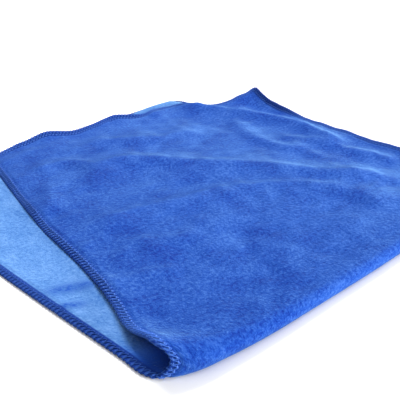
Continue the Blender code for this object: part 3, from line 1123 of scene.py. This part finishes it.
def pile_material(pile):
    """Three noises, weighted and added up, as three tones. The painted shades of the partings and
    the roll go over them, then the band's tint, partly painted shade.
    """
    material, tree, shader = new_material(pile.name)
    place = add_node(tree, "UVMap", uv_map="flat_place").outputs["UV"]
    shift = add_node(tree, "Mapping", location=pile.shift)
    feed(tree, shift.inputs["Vector"], place)
    clumps, fibres, strokes = (
        noise(tree, shift.outputs["Vector"], kind) for kind in (CLUMPS, FIBRES, STROKES)
    )
    tone = maths(tree, "MULTIPLY", clumps, CLUMPS.weight)
    tone = maths(tree, "MULTIPLY_ADD", fibres, FIBRES.weight, tone)
    tone = maths(tree, "MULTIPLY_ADD", strokes, STROKES.weight, tone)
    colour = ramp(tree, tone, TONE_STOPS, pile.tones)
    if pile.depths:
        # painted shade: streaks in the partings, and a darker azure towards the roll and in its
        # innermost part
        streaks = maths(tree, "MULTIPLY_ADD", clumps, STREAK_GAIN, STREAK_LEVEL)
        parted = maths(tree, "MULTIPLY", kept(tree, "parted"), streaks)
        rolled = within(tree, "from_roll", ROLL_SHADE_FADES)
        innermost = within(tree, "from_roll", INNERMOST_SHADE_FADES)
        colour = mix(tree, parted, colour, pile.depths.parted)
        colour = mix(tree, rolled, colour, pile.depths.rolled)
        colour = mix(tree, innermost, colour, pile.depths.innermost)
    # the stitched band: squeezed pile, with painted shade between the threads
    colour = mix(tree, within(tree, "from_hem", BAND_FADES), colour, BAND_TINT_AND_SHADE)
    feed(tree, shader.inputs["Base Color"], colour)
    height = maths(tree, "MULTIPLY_ADD", fibres, FIBRE_BUMP, clumps)
    add_bump(tree, shader, height, strength=1.0, distance=PILE_BUMP)
    set_cloth_shine(
        shader, roughness=1.0, specular=0.1, sheen=0.55, sheen_roughness=0.34,
        sheen_tint=pile.sheen_tint,
    )
    return material


for pile in (ROYAL, AZURE):
    cloth_mesh.materials.append(pile_material(pile))
face_material = np.zeros(len(cloth_mesh.polygons), np.int32)
face_material[len(outer_faces):len(outer_faces) + len(inner_faces)] = 1
cloth_mesh.polygons.foreach_set("material_index", face_material)
print("faces of royal and azure pile:", np.bincount(face_material))

# %% [markdown]
# ### The overlock yarn
#
# The stitching is textured polyester yarn, a little glossier than the pile. Its two plies are
# twisted, so a fine diagonal stripe runs round the tube. Modelled plies would take many more
# faces, so the stripe is colour and bump. The three threads differ in blue as painted light: the
# needle rows are lightest, a painted highlight on their humps, and the inner looper, in the shade
# of the fold, is darkest, a painted shade.

# %% The overlock yarn
PLY_TWIST = 900.0
PLY_COUNT = 2
PLY_BUMP = 0.0002
# the needle yarn's lighter blue is a painted highlight, and the inner looper's darker blue a
# painted shade
YARNS = (
    (looper_outer, "outer_looper_yarn", (0.020, 0.078, 0.370), (0.056, 0.150, 0.520)),
    (looper_inner, "inner_looper_yarn_painted_shade", (0.013, 0.054, 0.285), (0.038, 0.108, 0.430)),
    (needle_rows, "needle_yarn_painted_highlight", (0.050, 0.138, 0.500), (0.100, 0.215, 0.640)),
)


def yarn_material(name, deep, light):
    """Diagonal plies: a sine of 2 pi times the count of plies times (turn + twist * length),
    moved to run from 0 to 1."""
    material, tree, shader = new_material(name)
    parts = add_node(tree, "SeparateXYZ")
    place = add_node(tree, "UVMap", uv_map="along_thread").outputs["UV"]
    feed(tree, parts.inputs["Vector"], place)
    turns = maths(tree, "MULTIPLY_ADD", parts.outputs["Y"], PLY_TWIST, parts.outputs["X"])
    ply = maths(tree, "SINE", maths(tree, "MULTIPLY", turns, 2.0 * np.pi * PLY_COUNT))
    ply = maths(tree, "MULTIPLY_ADD", ply, 0.5, 0.5)
    feed(tree, shader.inputs["Base Color"], mix(tree, ply, deep, light))
    add_bump(tree, shader, ply, strength=0.6, distance=PLY_BUMP)
    set_cloth_shine(
        shader, roughness=0.75, specular=0.08, sheen=0.1, sheen_roughness=0.4,
        sheen_tint=(0.1, 0.3, 1.0),
    )
    return material


for piece, name, deep, light in YARNS:
    piece.data.materials.append(yarn_material(name, deep, light))
    print(piece.name, "has", name)

# %% [markdown]
# ## What stands for what
#
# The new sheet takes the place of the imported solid, which stays for collision only. The
# stitches ride with it and belong to the same sheet.

# %% Tie the pieces to the part
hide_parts("cloth")
for piece in (cloth, looper_outer, looper_inner, needle_rows):
    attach(piece, "root")
print(cloth.name, "stands for the solid, with", len(YARNS), "pieces of stitching")

# %% [markdown]
# ## The floor
#
# The cloth lies on a plain white table. A large pale square does for it, a hair lower than the
# cloth, so that the lowest pile doesn't touch it.

# %% Floor
FLOOR_REACH = 3.0
FLOOR_DROP = 0.0002
FLOOR_TINT, FLOOR_ROUGHNESS = (0.9, 0.9, 0.9), 0.7
floor_corners = FLOOR_REACH * np.array([(-1, -1, 0), (1, -1, 0), (1, 1, 0), (-1, 1, 0)])
floor_corners[:, 2] = -FLOOR_DROP
floor_mesh = bpy.data.meshes.new("floor")
floor_mesh.from_pydata(floor_corners.tolist(), [], [(0, 1, 2, 3)])
floor = add_object("floor", floor_mesh)
floor_material, floor_tree, floor_shader = new_material("pale_floor")
feed(floor_tree, floor_shader.inputs["Base Color"], FLOOR_TINT)
feed(floor_tree, floor_shader.inputs["Roughness"], FLOOR_ROUGHNESS)
floor_mesh.materials.append(floor_material)
print("floor:", 2.0 * FLOOR_REACH, "m square")

# %% [markdown]
# ## The light
#
# The photograph is a bright studio shot with soft light from everywhere. A lamp behind the
# cloth rims its ridges and leaves their near sides darker, a broad one above fills them, and a
# small one low at the front lights the upright face of the fold. A white sky does the rest.
# One large lamp would be simpler, but it flattens the ridges.

# %% Lamps and sky
Lamp = namedtuple("Lamp", "name place size watts")
LAMPS = (
    Lamp("behind", (0.30, 1.15, 1.45), 0.80, 52.0),
    Lamp("above", (-0.20, 0.00, 1.60), 2.00, 18.5),
    Lamp("low_front", (0.45, -1.00, 0.12), 0.40, 27.0),
)
SKY_TINT, SKY_STRENGTH = (1.0, 1.0, 1.0), 0.28

for lamp in LAMPS:
    light = add_object(lamp.name, bpy.data.lights.new(lamp.name, "AREA"))
    light.data.size = lamp.size
    light.data.energy = lamp.watts
    light.location = lamp.place
    look_along(light, -Vector(lamp.place))
    print(lamp.name, "lamp:", lamp.watts, "W")

sky = bpy.data.worlds.new("soft_sky")
bpy.context.scene.world = sky
sky.use_nodes = True
background = sky.node_tree.nodes["Background"]
feed(sky.node_tree, background.inputs["Color"], SKY_TINT)
feed(sky.node_tree, background.inputs["Strength"], SKY_STRENGTH)
bpy.context.scene.view_settings.view_transform = "Standard"
